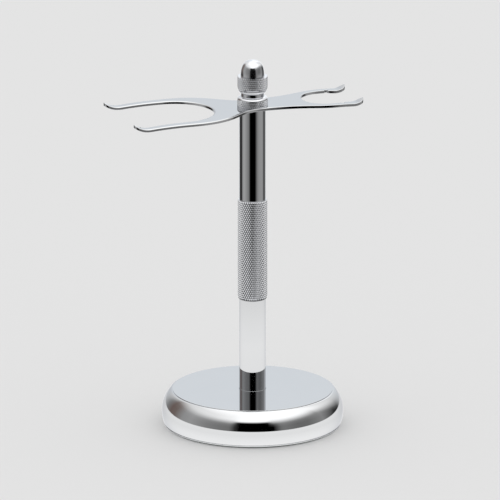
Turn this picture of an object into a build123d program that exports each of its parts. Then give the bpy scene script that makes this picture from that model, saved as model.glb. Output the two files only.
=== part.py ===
from build123d import *
from math import radians, sin
import os

# Razor stand in millimetres. +Z is up, the origin is the centre of the base's underside,
# and +X runs along the fork plate towards the razor fork.

# Base
BASE_RADIUS = 41.2  # widest point of the rounded side
BASE_HEIGHT = 16.9  # underside of the pad to the flat top
BASE_WIDEST_Z = 6.6  # height of the widest point
BASE_SIDE_RADIUS = 13.8  # radius of the arc that makes the side
BASE_CREASE_FILLET = 0.7  # where the side meets the flat top
BASE_RIM_FILLET = 0.6  # bottom edge of the shell
BASE_TOP_WALL = 3.2
BASE_SIDE_WALL = 5.0  # least thickness beside the ballast

# Pad and ballast
PAD_THICKNESS = 2.0
PAD_REVEAL = 0.9  # how far the pad stands out below the shell
PAD_INSET = 1.6  # shell lip round the pad, at the bottom edge
PAD_CLEARANCE = 0.1
BALLAST_CLEARANCE = 0.15
BALLAST_CHAMFER = 0.8

# Column
COLUMN_RADIUS = 6.0
COLUMN_LOWER_LENGTH = 42.8  # base top to grip
COLUMN_UPPER_LENGTH = 42.7  # grip to swivel washer
COLUMN_SEAT_DEPTH = 0.8  # how deep the column sits in the base top
COLUMN_SEAT_CLEARANCE = 0.05
COLUMN_END_CHAMFER = 0.3

# Knurled grip
GRIP_RADIUS = 6.75
GRIP_LENGTH = 46.2
GRIP_TOP_CHAMFER = 0.7
GRIP_BOTTOM_FILLET = 0.7

# Screws and studs (threads drawn plain)
THREAD_RADIUS = 3.0
THREAD_CLEARANCE = 0.05
STUD_END_CHAMFER = 0.4
JOINING_STUD_DEPTH = 10.0  # into each of the two pieces that it joins
HOLE_RELIEF = 1.0  # empty depth past the end of a stud
TOP_STUD_DEPTH = 14.0  # into the upper column
SCREW_DEPTH = 12.0  # into the lower column
SCREW_HEAD_RADIUS = 5.0
SCREW_HEAD_HEIGHT = 4.5
SCREW_SOCKET_ACROSS_FLATS = 5.0
SCREW_SOCKET_DEPTH = 2.8
SCREW_HOLE_CLEARANCE = 0.3
HEAD_POCKET_RADIUS = 7.6
HEAD_CLEARANCE = 0.8  # between the screw's head and the pad
WASHER_RADIUS = 6.4
WASHER_THICKNESS = 1.2
LOCK_WASHER_RADIUS = 5.4
LOCK_WASHER_THICKNESS = 1.4
LOCK_WASHER_GAP = 1.2
SWIVEL_WASHER_RADIUS = 5.6
SWIVEL_WASHER_THICKNESS = 0.4

# Fork plate
PLATE_THICKNESS = 1.4
PLATE_BORE_CLEARANCE = 0.05
WAIST_HALF_WIDTH = 8.2
BRUSH_REACH = 64.0  # column axis to the tips of the brush fork
BRUSH_ROOT = 19.4  # column axis to the closed end of the brush gap
BRUSH_GAP_RADIUS = 17.8
BRUSH_PRONG_WIDTH = 4.8
BRUSH_TIP_WIDTH = 3.8
BRUSH_SHOULDER = 34.0  # column axis to where the prong's outer edge runs straight
BRUSH_DIP_RUN = 17.0
BRUSH_DIP_ANGLE = 4.5
BRUSH_CURL_RADIUS = 11.0
BRUSH_CURL_ANGLE = 44.0
RAZOR_REACH = 48.8
RAZOR_ROOT = 23.8
RAZOR_GAP_RADIUS = 10.9
RAZOR_PRONG_WIDTH = 3.2
RAZOR_SHOULDER = 38.0
RAZOR_PAD_WIDTH = 4.4
RAZOR_PAD_LENGTH = 8.6
RAZOR_NOTCH_RADIUS = 0.8
RAZOR_DIP_RUN = 7.0
RAZOR_DIP_ANGLE = 4.0
RAZOR_CURL_RADIUS = 8.0
RAZOR_CURL_ANGLE = 44.0

# Clamp collar
COLLAR_RADIUS = 7.0
COLLAR_BAND_HEIGHT = 2.9
COLLAR_HEIGHT = 5.5
COLLAR_NECK_RADIUS = 5.3
COLLAR_NECK_HEIGHT = 0.7
COLLAR_CHAMFER = 0.3

# Cap nut
CAP_FOOT_RADIUS = 5.3
CAP_BAND_RADIUS = 6.9
CAP_CONE_HEIGHT = 2.1  # from the foot out to the knurled band
CAP_BAND_HEIGHT = 5.2
CAP_BAND_CHAMFER = 0.35
CAP_DOME_RADIUS = 5.45
CAP_DOME_HEIGHT = 7.9
CAP_BORE_DEPTH = 8.4
CAP_BORE_RELIEF = 0.9  # air between the stud's end and the bore's end

# Heights that several pieces share
SHELL_BOTTOM = PAD_REVEAL
CAVITY_TOP = BASE_HEIGHT - BASE_TOP_WALL
PAD_TOP = PAD_THICKNESS
COLUMN_BOTTOM = BASE_HEIGHT - COLUMN_SEAT_DEPTH
GRIP_BOTTOM = BASE_HEIGHT + COLUMN_LOWER_LENGTH
GRIP_TOP = GRIP_BOTTOM + GRIP_LENGTH
COLUMN_TOP = GRIP_TOP + COLUMN_UPPER_LENGTH
PLATE_BOTTOM = COLUMN_TOP + SWIVEL_WASHER_THICKNESS
PLATE_TOP = PLATE_BOTTOM + PLATE_THICKNESS
COLLAR_TOP = PLATE_TOP + COLLAR_HEIGHT
CAP_BAND_BOTTOM = COLLAR_TOP + CAP_CONE_HEIGHT
CAP_BAND_TOP = CAP_BAND_BOTTOM + CAP_BAND_HEIGHT
CAP_TOP = CAP_BAND_TOP + CAP_DOME_HEIGHT
CAP_BORE_TOP = COLLAR_TOP + CAP_BORE_DEPTH
TOP_STUD_END = CAP_BORE_TOP - CAP_BORE_RELIEF
HEAD_BOTTOM = PAD_TOP + HEAD_CLEARANCE
HEAD_TOP = HEAD_BOTTOM + SCREW_HEAD_HEIGHT
LOCK_WASHER_TOP = HEAD_TOP + LOCK_WASHER_THICKNESS
POCKET_TOP = LOCK_WASHER_TOP + WASHER_THICKNESS
THREAD_BORE = THREAD_RADIUS + THREAD_CLEARANCE
SCREW_HOLE = THREAD_RADIUS + SCREW_HOLE_CLEARANCE


def rod(radius, bottom, top):
    """A plain cylinder on the Z axis between two heights."""
    return Pos(0, 0, bottom) * Cylinder(radius, top - bottom, align=(Align.CENTER, Align.CENTER, Align.MIN))


def ring(outer, inner, bottom, top):
    """A round tube on the Z axis between two heights."""
    return rod(outer, bottom, top) - rod(inner, bottom, top)


def stud(bottom, top):
    """A threaded stud on the Z axis, chamfered at both ends."""
    body = rod(THREAD_RADIUS, bottom, top)
    return chamfer(body.edges().filter_by(GeomType.CIRCLE), STUD_END_CHAMFER)


def circles_at(piece, height, radius):
    """The circular edges of a piece at one height and radius."""
    found = piece.edges().filter_by(GeomType.CIRCLE)
    found = found.filter_by(lambda edge: abs(edge.arc_center.Z - height) < 1e-4)
    return found.filter_by(lambda edge: abs(edge.radius - radius) < 1e-4)


def turned(*outline):
    """A solid of revolution from the edges of its outline in the XZ plane."""
    return revolve(make_face(Curve() + list(outline)), Axis.Z)


def side_radius(height):
    """Radius of the base's rounded side at a height."""
    offset = height - BASE_WIDEST_Z
    return BASE_RADIUS - BASE_SIDE_RADIUS + (BASE_SIDE_RADIUS**2 - offset**2) ** 0.5


def on_xz(x, z):
    """A point of a turned piece's outline."""
    return (x, 0, z)


# Base
PAD_RADIUS = side_radius(SHELL_BOTTOM) - PAD_INSET
BALLAST_RADIUS = side_radius(CAVITY_TOP) - BASE_SIDE_WALL


def make_base_shell():
    """Shell with a rounded side, a seat for the column, and a cavity for the ballast."""
    bottom_radius = side_radius(SHELL_BOTTOM)
    top_radius = side_radius(BASE_HEIGHT)
    shell = turned(
        Line(on_xz(0, SHELL_BOTTOM), on_xz(bottom_radius, SHELL_BOTTOM)),
        ThreePointArc(
            on_xz(bottom_radius, SHELL_BOTTOM),
            on_xz(BASE_RADIUS, BASE_WIDEST_Z),
            on_xz(top_radius, BASE_HEIGHT),
        ),
        Line(on_xz(top_radius, BASE_HEIGHT), on_xz(0, BASE_HEIGHT)),
        Line(on_xz(0, BASE_HEIGHT), on_xz(0, SHELL_BOTTOM)),
    )
    shell = fillet(circles_at(shell, BASE_HEIGHT, top_radius), BASE_CREASE_FILLET)
    shell = fillet(circles_at(shell, SHELL_BOTTOM, bottom_radius), BASE_RIM_FILLET)
    shell -= rod(BALLAST_RADIUS + BALLAST_CLEARANCE, SHELL_BOTTOM, CAVITY_TOP)
    shell -= rod(PAD_RADIUS + PAD_CLEARANCE, SHELL_BOTTOM, PAD_TOP)
    shell -= rod(SCREW_HOLE, CAVITY_TOP, BASE_HEIGHT)
    return shell - rod(COLUMN_RADIUS + COLUMN_SEAT_CLEARANCE, COLUMN_BOTTOM, BASE_HEIGHT)


def make_base_weight():
    """Ballast disc with a pocket for the screw's head."""
    bottom = PAD_TOP + BALLAST_CLEARANCE
    weight = rod(BALLAST_RADIUS, bottom, CAVITY_TOP)
    weight = chamfer(weight.edges().filter_by(GeomType.CIRCLE), BALLAST_CHAMFER)
    weight -= rod(SCREW_HOLE, POCKET_TOP, CAVITY_TOP)
    return weight - rod(HEAD_POCKET_RADIUS, bottom, POCKET_TOP)


def make_base_pad():
    """Thin non-slip disc stuck into the shell's underside, over the ballast and the screw."""
    return rod(PAD_RADIUS, 0, PAD_TOP)


def make_base_screw():
    """Socket-head screw that pulls the column down on the base."""
    end = COLUMN_BOTTOM + SCREW_DEPTH
    shank = rod(THREAD_RADIUS, HEAD_TOP, end)
    shank = chamfer(circles_at(shank, end, THREAD_RADIUS), STUD_END_CHAMFER)
    head = rod(SCREW_HEAD_RADIUS, HEAD_BOTTOM, HEAD_TOP)
    head = fillet(circles_at(head, HEAD_BOTTOM, SCREW_HEAD_RADIUS), STUD_END_CHAMFER)
    hexagon = RegularPolygon(SCREW_SOCKET_ACROSS_FLATS / 2, 6, major_radius=False)
    socket = extrude(Pos(0, 0, HEAD_BOTTOM) * hexagon, SCREW_SOCKET_DEPTH)
    return shank + head - socket


def make_base_washer():
    """Flat washer against the ballast."""
    return ring(WASHER_RADIUS, SCREW_HOLE, LOCK_WASHER_TOP, POCKET_TOP)


def make_base_lock_washer():
    """Split spring washer between the screw's head and the flat washer."""
    washer = ring(LOCK_WASHER_RADIUS, SCREW_HOLE, HEAD_TOP, LOCK_WASHER_TOP)
    gap = Box(LOCK_WASHER_RADIUS, LOCK_WASHER_GAP, LOCK_WASHER_THICKNESS, align=Align.MIN)
    return washer - Pos(0, -LOCK_WASHER_GAP / 2, HEAD_TOP) * gap


# Column
def make_column_lower():
    """Lower bar, bored at both ends."""
    bar = rod(COLUMN_RADIUS, COLUMN_BOTTOM, GRIP_BOTTOM)
    bar = chamfer(circles_at(bar, GRIP_BOTTOM, COLUMN_RADIUS), COLUMN_END_CHAMFER)
    bar -= rod(THREAD_BORE, COLUMN_BOTTOM, COLUMN_BOTTOM + SCREW_DEPTH + HOLE_RELIEF)
    return bar - rod(THREAD_BORE, GRIP_BOTTOM - JOINING_STUD_DEPTH - HOLE_RELIEF, GRIP_BOTTOM)


def make_column_upper():
    """Upper bar, bored at both ends."""
    bar = rod(COLUMN_RADIUS, GRIP_TOP, COLUMN_TOP)
    bar = chamfer(bar.edges().filter_by(GeomType.CIRCLE), COLUMN_END_CHAMFER)
    bar -= rod(THREAD_BORE, GRIP_TOP, GRIP_TOP + JOINING_STUD_DEPTH + HOLE_RELIEF)
    return bar - rod(THREAD_BORE, COLUMN_TOP - TOP_STUD_DEPTH - HOLE_RELIEF, COLUMN_TOP)


def make_grip_barrel():
    """Knurled barrel between the two bars; its surface is at the crests of the knurl."""
    barrel = rod(GRIP_RADIUS, GRIP_BOTTOM, GRIP_TOP)
    barrel = chamfer(circles_at(barrel, GRIP_TOP, GRIP_RADIUS), GRIP_TOP_CHAMFER)
    barrel = fillet(circles_at(barrel, GRIP_BOTTOM, GRIP_RADIUS), GRIP_BOTTOM_FILLET)
    depth = JOINING_STUD_DEPTH + HOLE_RELIEF
    barrel -= rod(THREAD_BORE, GRIP_BOTTOM, GRIP_BOTTOM + depth)
    return barrel - rod(THREAD_BORE, GRIP_TOP - depth, GRIP_TOP)


# Fork plate
def half_outline():
    """Outline of the plate on the +Y side, from the brush gap's root to the razor gap's root."""
    brush_centre = -BRUSH_ROOT - BRUSH_GAP_RADIUS
    brush_outer = BRUSH_GAP_RADIUS + BRUSH_PRONG_WIDTH
    brush_tip = BRUSH_TIP_WIDTH / 2
    brush_tip_x = -BRUSH_REACH + brush_tip
    brush_tip_y = brush_outer - BRUSH_PRONG_WIDTH / 2
    razor_centre = RAZOR_ROOT + RAZOR_GAP_RADIUS
    razor_outer = RAZOR_GAP_RADIUS + RAZOR_PRONG_WIDTH
    razor_pad_y = razor_outer - RAZOR_PAD_WIDTH
    razor_tip = RAZOR_PAD_WIDTH / 2
    razor_tip_x = RAZOR_REACH - razor_tip
    pad_start = RAZOR_REACH - RAZOR_PAD_LENGTH
    notch_start = pad_start - 2 * RAZOR_NOTCH_RADIUS
    handle = (BRUSH_SHOULDER - COLLAR_RADIUS) / 2
    flank = (RAZOR_SHOULDER + COLLAR_RADIUS) / 2 + 2
    return [
        ThreePointArc(
            (-BRUSH_ROOT, 0),
            (brush_centre + BRUSH_GAP_RADIUS * 0.5**0.5, BRUSH_GAP_RADIUS * 0.5**0.5),
            (brush_centre, BRUSH_GAP_RADIUS),
        ),
        Line((brush_centre, BRUSH_GAP_RADIUS), (brush_tip_x, brush_tip_y - brush_tip)),
        ThreePointArc(
            (brush_tip_x, brush_tip_y - brush_tip),
            (-BRUSH_REACH, brush_tip_y),
            (brush_tip_x, brush_tip_y + brush_tip),
        ),
        Line((brush_tip_x, brush_tip_y + brush_tip), (-BRUSH_SHOULDER, brush_outer)),
        Bezier(
            (-BRUSH_SHOULDER, brush_outer),
            (-handle, brush_outer),
            (-handle + 3, WAIST_HALF_WIDTH),
            (0, WAIST_HALF_WIDTH),
        ),
        Bezier(
            (0, WAIST_HALF_WIDTH),
            (flank, WAIST_HALF_WIDTH),
            (flank, razor_outer),
            (RAZOR_SHOULDER, razor_outer),
        ),
        Line((RAZOR_SHOULDER, razor_outer), (razor_tip_x, razor_outer)),
        ThreePointArc(
            (razor_tip_x, razor_outer),
            (RAZOR_REACH, razor_outer - razor_tip),
            (razor_tip_x, razor_pad_y),
        ),
        Bezier(
            (razor_tip_x, razor_pad_y),
            (pad_start + RAZOR_NOTCH_RADIUS, razor_pad_y),
            (pad_start, razor_pad_y + RAZOR_NOTCH_RADIUS / 2),
            (pad_start, RAZOR_GAP_RADIUS),
        ),
        ThreePointArc(
            (pad_start, RAZOR_GAP_RADIUS),
            (pad_start - RAZOR_NOTCH_RADIUS, RAZOR_GAP_RADIUS + RAZOR_NOTCH_RADIUS),
            (notch_start, RAZOR_GAP_RADIUS),
        ),
        Line((notch_start, RAZOR_GAP_RADIUS), (razor_centre, RAZOR_GAP_RADIUS)),
        ThreePointArc(
            (razor_centre, RAZOR_GAP_RADIUS),
            (razor_centre - RAZOR_GAP_RADIUS * 0.5**0.5, RAZOR_GAP_RADIUS * 0.5**0.5),
            (RAZOR_ROOT, 0),
        ),
    ]


def sheet_side(height, side):
    """One face of the bent sheet, seen along Y; side is +1 for the top face, -1 for the lower."""
    half = side * PLATE_THICKNESS / 2
    brush_bend = BRUSH_DIP_RUN / radians(BRUSH_DIP_ANGLE)
    razor_bend = RAZOR_DIP_RUN / radians(RAZOR_DIP_ANGLE)
    brush_flat = BRUSH_REACH - BRUSH_DIP_RUN - BRUSH_CURL_RADIUS * sin(radians(BRUSH_CURL_ANGLE))
    razor_flat = RAZOR_REACH - RAZOR_DIP_RUN - RAZOR_CURL_RADIUS * sin(radians(RAZOR_CURL_ANGLE))
    z = height + half
    brush_dip = JernArc((-brush_flat, z), (-1, 0), brush_bend + half, BRUSH_DIP_ANGLE)
    brush_curl = JernArc(
        brush_dip @ 1, brush_dip % 1, BRUSH_CURL_RADIUS - half, -BRUSH_DIP_ANGLE - BRUSH_CURL_ANGLE
    )
    razor_dip = JernArc((razor_flat, z), (1, 0), razor_bend + half, -RAZOR_DIP_ANGLE)
    razor_curl = JernArc(
        razor_dip @ 1, razor_dip % 1, RAZOR_CURL_RADIUS - half, RAZOR_DIP_ANGLE + RAZOR_CURL_ANGLE
    )
    flat = Line((-brush_flat, z), (razor_flat, z))
    return [brush_curl, brush_dip, flat, razor_dip, razor_curl]


def make_fork_plate():
    """Bent sheet: the plan outline and the side outline, each run through the other."""
    middle = PLATE_BOTTOM + PLATE_THICKNESS / 2
    half = half_outline()
    outline = make_face(Curve() + half + [mirror(edge, Plane.XZ) for edge in half])
    tall = extrude(Pos(0, 0, PLATE_BOTTOM) * outline, 2 * BRUSH_CURL_RADIUS, both=True)
    top = sheet_side(middle, 1)
    under = sheet_side(middle, -1)
    ends = [Line(top[0] @ 1, under[0] @ 1), Line(top[-1] @ 1, under[-1] @ 1)]
    side = Plane.XZ * make_face(Curve() + top + under + ends)
    sheet = extrude(side, 2 * (BRUSH_GAP_RADIUS + BRUSH_PRONG_WIDTH), both=True)
    plate = tall & sheet
    return plate - rod(THREAD_RADIUS + PLATE_BORE_CLEARANCE, PLATE_BOTTOM, PLATE_TOP)


# Clamp collar and cap nut
def make_clamp_collar():
    """Knurled ring with a coved neck, bored to slide on the stud."""
    z = PLATE_TOP
    band_top = z + COLLAR_BAND_HEIGHT
    neck_bottom = COLLAR_TOP - COLLAR_NECK_HEIGHT
    lip = COLLAR_RADIUS - COLLAR_CHAMFER
    collar = turned(
        Polyline(
            on_xz(0, z),
            on_xz(lip, z),
            on_xz(COLLAR_RADIUS, z + COLLAR_CHAMFER),
            on_xz(COLLAR_RADIUS, band_top - COLLAR_CHAMFER),
            on_xz(lip, band_top),
        ),
        Bezier(
            on_xz(lip, band_top),
            on_xz(COLLAR_NECK_RADIUS, band_top + COLLAR_CHAMFER),
            on_xz(COLLAR_NECK_RADIUS, neck_bottom),
        ),
        Polyline(
            on_xz(COLLAR_NECK_RADIUS, neck_bottom),
            on_xz(COLLAR_NECK_RADIUS, COLLAR_TOP),
            on_xz(0, COLLAR_TOP),
            on_xz(0, z),
        ),
    )
    return collar - rod(THREAD_BORE, z, COLLAR_TOP)


def make_cap_nut():
    """Knurled nut with a bullet-shaped top and a blind threaded bore."""
    shoulder = CAP_BAND_RADIUS - CAP_BAND_CHAMFER
    cap = turned(
        Polyline(
            on_xz(0, COLLAR_TOP),
            on_xz(CAP_FOOT_RADIUS, COLLAR_TOP),
            on_xz(CAP_BAND_RADIUS, CAP_BAND_BOTTOM),
            on_xz(CAP_BAND_RADIUS, CAP_BAND_TOP - CAP_BAND_CHAMFER),
            on_xz(shoulder, CAP_BAND_TOP),
            on_xz(CAP_DOME_RADIUS, CAP_BAND_TOP),
        ),
        Bezier(
            on_xz(CAP_DOME_RADIUS, CAP_BAND_TOP),
            on_xz(CAP_DOME_RADIUS - 0.1, CAP_BAND_TOP + 0.66 * CAP_DOME_HEIGHT),
            on_xz(0.86 * CAP_DOME_RADIUS, CAP_TOP),
            on_xz(0, CAP_TOP),
        ),
        Line(on_xz(0, CAP_TOP), on_xz(0, COLLAR_TOP)),
    )
    return cap - rod(THREAD_BORE, COLLAR_TOP, CAP_BORE_TOP)


PIECES = {
    "base_shell": make_base_shell(),
    "base_weight": make_base_weight(),
    "base_pad": make_base_pad(),
    "base_screw": make_base_screw(),
    "base_washer": make_base_washer(),
    "base_lock_washer": make_base_lock_washer(),
    "column_lower": make_column_lower(),
    "lower_stud": stud(GRIP_BOTTOM - JOINING_STUD_DEPTH, GRIP_BOTTOM + JOINING_STUD_DEPTH),
    "grip_barrel": make_grip_barrel(),
    "upper_stud": stud(GRIP_TOP - JOINING_STUD_DEPTH, GRIP_TOP + JOINING_STUD_DEPTH),
    "column_upper": make_column_upper(),
    "top_stud": stud(COLUMN_TOP - TOP_STUD_DEPTH, TOP_STUD_END),
    "swivel_washer": ring(SWIVEL_WASHER_RADIUS, THREAD_BORE, COLUMN_TOP, PLATE_BOTTOM),
    "fork_plate": make_fork_plate(),
    "clamp_collar": make_clamp_collar(),
    "cap_nut": make_cap_nut(),
}

os.makedirs("parts", exist_ok=True)
for name, piece in PIECES.items():
    piece.label = name
    export_step(piece, f"parts/{name}.step")
    print(name, round(piece.volume), "mm3")
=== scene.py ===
"""A chromed razor stand: round base, knurled column, bent fork plate and domed cap nut."""

import logging
import math
from dataclasses import dataclass
from enum import Enum
from typing import Any, Optional, Sequence, Union

import bmesh
import bpy
from mathutils import Matrix, Vector


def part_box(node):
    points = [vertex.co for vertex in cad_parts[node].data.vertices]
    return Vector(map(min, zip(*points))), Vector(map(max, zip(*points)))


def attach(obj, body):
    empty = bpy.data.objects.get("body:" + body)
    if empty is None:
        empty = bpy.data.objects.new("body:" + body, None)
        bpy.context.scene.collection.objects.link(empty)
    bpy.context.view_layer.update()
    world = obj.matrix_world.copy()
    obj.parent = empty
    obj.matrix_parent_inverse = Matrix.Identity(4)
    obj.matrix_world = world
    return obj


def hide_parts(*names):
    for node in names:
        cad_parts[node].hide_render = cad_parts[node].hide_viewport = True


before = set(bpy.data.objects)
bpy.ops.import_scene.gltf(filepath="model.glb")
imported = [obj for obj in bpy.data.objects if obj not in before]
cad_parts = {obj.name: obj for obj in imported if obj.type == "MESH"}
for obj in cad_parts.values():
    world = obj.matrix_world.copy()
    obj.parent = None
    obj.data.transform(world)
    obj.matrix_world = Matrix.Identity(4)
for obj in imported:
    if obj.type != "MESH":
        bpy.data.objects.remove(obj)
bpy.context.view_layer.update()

MM = 0.001
MERGE = 1e-7  # points nearer than this, in metres, are one
ON_PLANE = 1e-6  # a point this near a plane, in metres, lies on it
GUARD = 0.3  # length of a rounding's guard stretch, as a share of its radius
SHARP_ANGLE = math.radians(32.0)
LOG = logging.getLogger("razor_stand")
Colour = tuple[float, float, float]
Tones = Sequence[tuple[float, Any]]  # places with a grey or a colour


class Body(Enum):
    """The rigid bodies that a piece can ride on."""

    STAND = "stand"
    FORK = "fork"
    COLLAR = "collar"
    CAP = "cap"


class Slot(Enum):
    """The finishes that the parts are delivered in."""

    CHROME = "polished_chrome"
    KNURL = "knurled_chrome"
    IRON = "ballast_iron"
    FOAM = "foam_rubber"
    ZINC = "zinc_steel"
    NYLON = "nylon"


# ---------------------------------------------------------------- shader maths


class Wire:
    """A shader socket that takes part in Python arithmetic."""

    def __init__(self, graph: "Graph", socket: bpy.types.NodeSocket) -> None:
        """Keeps a socket and the graph that it belongs to.

        Args:
            graph: The graph that new nodes are added to.
            socket: The output socket that carries the value.
        """
        self.graph = graph
        self.socket = socket

    def math(self, operation: str, first: Any, second: Any = 0.0) -> "Wire":
        """Adds one Math node and returns its result."""
        return self.graph.add("ShaderNodeMath", {"operation": operation}, {0: first, 1: second})

    def __add__(self, other: Any) -> "Wire":
        """Returns self + other."""
        return self.math("ADD", self, other)

    def __radd__(self, other: Any) -> "Wire":
        """Returns other + self."""
        return self.math("ADD", other, self)

    def __sub__(self, other: Any) -> "Wire":
        """Returns self - other."""
        return self.math("SUBTRACT", self, other)

    def __rsub__(self, other: Any) -> "Wire":
        """Returns other - self."""
        return self.math("SUBTRACT", other, self)

    def __mul__(self, other: Any) -> "Wire":
        """Returns self * other."""
        return self.math("MULTIPLY", self, other)

    def __rmul__(self, other: Any) -> "Wire":
        """Returns other * self."""
        return self.math("MULTIPLY", other, self)

    def __truediv__(self, other: Any) -> "Wire":
        """Returns self / other."""
        return self.math("DIVIDE", self, other)

    def __rtruediv__(self, other: Any) -> "Wire":
        """Returns other / self."""
        return self.math("DIVIDE", other, self)

    def larger(self, other: Any) -> "Wire":
        """Returns the larger of self and other."""
        return self.math("MAXIMUM", self, other)

    def above(self, limit: float) -> "Wire":
        """Returns 1 where self is above a limit, and 0 elsewhere."""
        return self.math("GREATER_THAN", self, limit)


class Graph:
    """The node tree of a material or of the world."""

    def __init__(self, owner: Union[bpy.types.Material, bpy.types.World]) -> None:
        """Empties the owner's node tree and keeps it.

        Args:
            owner: The material or world whose nodes are written.
        """
        owner.use_nodes = True
        self.tree = owner.node_tree
        self.tree.nodes.clear()

    def add(
        self,
        kind: str,
        settings: Optional[dict[str, Any]] = None,
        inputs: Optional[dict[Union[int, str], Any]] = None,
        output: Union[int, str] = 0,
    ) -> Wire:
        """Adds a node, sets it up, feeds it and returns one of its outputs.

        Args:
            kind: The node's type name.
            settings: Attributes to set first; "stops" is a colour ramp's list of (place, colour).
            inputs: Values or wires by socket name or number.
            output: The output socket to return.

        Returns:
            The output as a wire.
        """
        node = self.tree.nodes.new(kind)
        for key, value in (settings or {}).items():
            if key == "stops":
                self._set_stops(node.color_ramp, value)
            else:
                setattr(node, key, value)
        for key, value in (inputs or {}).items():
            if isinstance(value, Wire):
                self.tree.links.new(value.socket, node.inputs[key])
            else:
                node.inputs[key].default_value = value
        return Wire(self, node.outputs[output]) if node.outputs else Wire(self, None)

    @staticmethod
    def _set_stops(ramp: bpy.types.ColorRamp, stops: Tones) -> None:
        """Writes a colour ramp's stops.

        Args:
            ramp: The ramp.
            stops: Places from 0 to 1 with their colours; a plain number stands for a grey.
        """
        while len(ramp.elements) < len(stops):
            ramp.elements.new(0.5)
        for element, (place, colour) in zip(ramp.elements, stops):
            element.position = place
            element.color = (colour,) * 3 + (1.0,) if isinstance(colour, float) else (*colour, 1.0)

    def place(self, scale: Sequence[float] = (1.0, 1.0, 1.0)) -> Wire:
        """Returns the object's own coordinates in metres, stretched by a scale."""
        spot = self.add("ShaderNodeTexCoord", output="Object")
        return self.add("ShaderNodeMapping", None, {"Vector": spot, "Scale": scale})

    def noise(self, where: Wire, scale: float, detail: float = 3.0, rough: float = 0.5) -> Wire:
        """Adds a noise texture.

        Args:
            where: Coordinates in metres.
            scale: Cells per metre.
            detail: Octaves.
            rough: How strong the finer octaves are.

        Returns:
            The noise, from 0 to 1.
        """
        inputs = {"Vector": where, "Scale": scale, "Detail": detail, "Roughness": rough}
        return self.add("ShaderNodeTexNoise", None, inputs)

    def ramp(self, value: Any, stops: Tones, smooth: bool = False) -> Wire:
        """Adds a colour ramp.

        Args:
            value: Where the ramp is read, from 0 to 1.
            stops: Places with their colours.
            smooth: Whether it eases in and out at the stops.

        Returns:
            The ramp's colour.
        """
        wire = self.add("ShaderNodeValToRGB", {"stops": stops}, {"Fac": value})
        if smooth:
            wire.socket.node.color_ramp.interpolation = "EASE"
        return wire

    def mix(self, share: Any, low: Any, high: Any) -> Wire:
        """Adds a colour mix.

        Args:
            share: 0 for the low colour, 1 for the high one.
            low: The first colour.
            high: The second colour.

        Returns:
            The mixed colour.
        """
        low, high = (end if isinstance(end, Wire) else (*end, 1.0) for end in (low, high))
        return self.add("ShaderNodeMix", {"data_type": "RGBA"}, {0: share, 6: low, 7: high}, 2)

    def bump(self, height: Wire, strength: float, distance: float) -> Wire:
        """Returns normals tilted by a height value."""
        inputs = {"Height": height, "Strength": strength, "Distance": distance}
        return self.add("ShaderNodeBump", None, inputs, "Normal")

    def surface(self, constants: dict[str, Any], varying: dict[str, Wire]) -> None:
        """Ends the tree with a Principled surface.

        Args:
            constants: Values that are the same all over, by socket name.
            varying: Wires by socket name.
        """
        shader = self.add("ShaderNodeBsdfPrincipled", None, {**constants, **varying}, "BSDF")
        self.add("ShaderNodeOutputMaterial", None, {"Surface": shader})


# -------------------------------------------------------------------- finishes


@dataclass(frozen=True)
class Finish:
    """A surface finish that can make its material, and the slot that it is delivered in."""

    name: str
    slot: Slot

    def make(self) -> bpy.types.Material:
        """Makes the material the first time, and finds it again after that.

        Returns:
            The material.
        """
        known = bpy.data.materials.get(self.name)
        if known:
            return known
        material = bpy.data.materials.new(self.name)
        self.paint(Graph(material))
        return material

    def paint(self, graph: Graph) -> None:
        """Writes the finish's nodes."""
        raise NotImplementedError


@dataclass(frozen=True)
class MirrorChrome(Finish):
    """Bright chromium plate, polished, with faint wiping haze and slow unevenness."""

    name: str = "mirror_chrome"
    slot: Slot = Slot.CHROME
    light: Colour = (0.735, 0.74, 0.745)
    dark: Colour = (0.71, 0.718, 0.726)
    edge: tuple[float, float, float, float] = (0.70, 0.71, 0.73, 1.0)
    polish: float = 0.022
    haze: float = 0.055

    def paint(self, graph: Graph) -> None:
        """Haze in roughness, a slight tint change, and micro-scratches in the bump.

        Args:
            graph: The material's nodes.
        """
        where = graph.place()
        cloud = graph.noise(where, scale=65.0, detail=4.0, rough=0.55)
        wipes = graph.noise(graph.place((1.0, 1.0, 6.0)), scale=420.0, detail=2.0)
        smear = graph.ramp(cloud, ((0.45, 0.0), (0.72, 1.0)), smooth=True)
        scratches = graph.noise(graph.place((1.0, 1.0, 14.0)), scale=2600.0, detail=2.0, rough=0.6)
        slow = graph.noise(where, scale=110.0, detail=1.0)
        graph.surface(
            {"Metallic": 1.0, "Specular Tint": self.edge},
            {
                "Base Color": graph.mix(cloud, self.dark, self.light),
                "Roughness": self.polish + smear * wipes * self.haze,
                "Normal": graph.bump(slow + scratches * 0.02, strength=0.06, distance=0.00002),
            },
        )


@dataclass(frozen=True)
class KnurledChrome(Finish):
    """The same plate on a knurl: painted shade in the duller grooves, bright on the crests."""

    name: str = "knurled_chrome"
    slot: Slot = Slot.KNURL
    crest: Colour = (0.90, 0.905, 0.925)
    # The groove colour is painted shade, dark where the grooves hide from the light.
    groove: Colour = (0.04, 0.04, 0.048)

    def paint(self, graph: Graph) -> None:
        """Groove depth dulls the plate and darkens it with painted shade.

        Args:
            graph: The material's nodes.
        """
        depth = graph.add("ShaderNodeAttribute", {"attribute_name": "groove"}, None, "Fac")
        grain = graph.noise(graph.place(), scale=900.0, detail=3.0)
        # Painted shade: the deeper a groove, the nearer its colour to the dark groove colour, a
        # little unevenly.
        groove_shade = graph.ramp(depth, ((0.2, 0.0), (0.75, 1.0))) * (grain * 0.3 + 0.75)
        graph.surface(
            {"Metallic": 1.0},
            {
                "Base Color": graph.mix(groove_shade, self.crest, self.groove),
                "Roughness": 0.22 + depth * 0.12 + grain * 0.03,
                "Normal": graph.bump(grain, strength=0.10, distance=0.00003),
            },
        )


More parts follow.
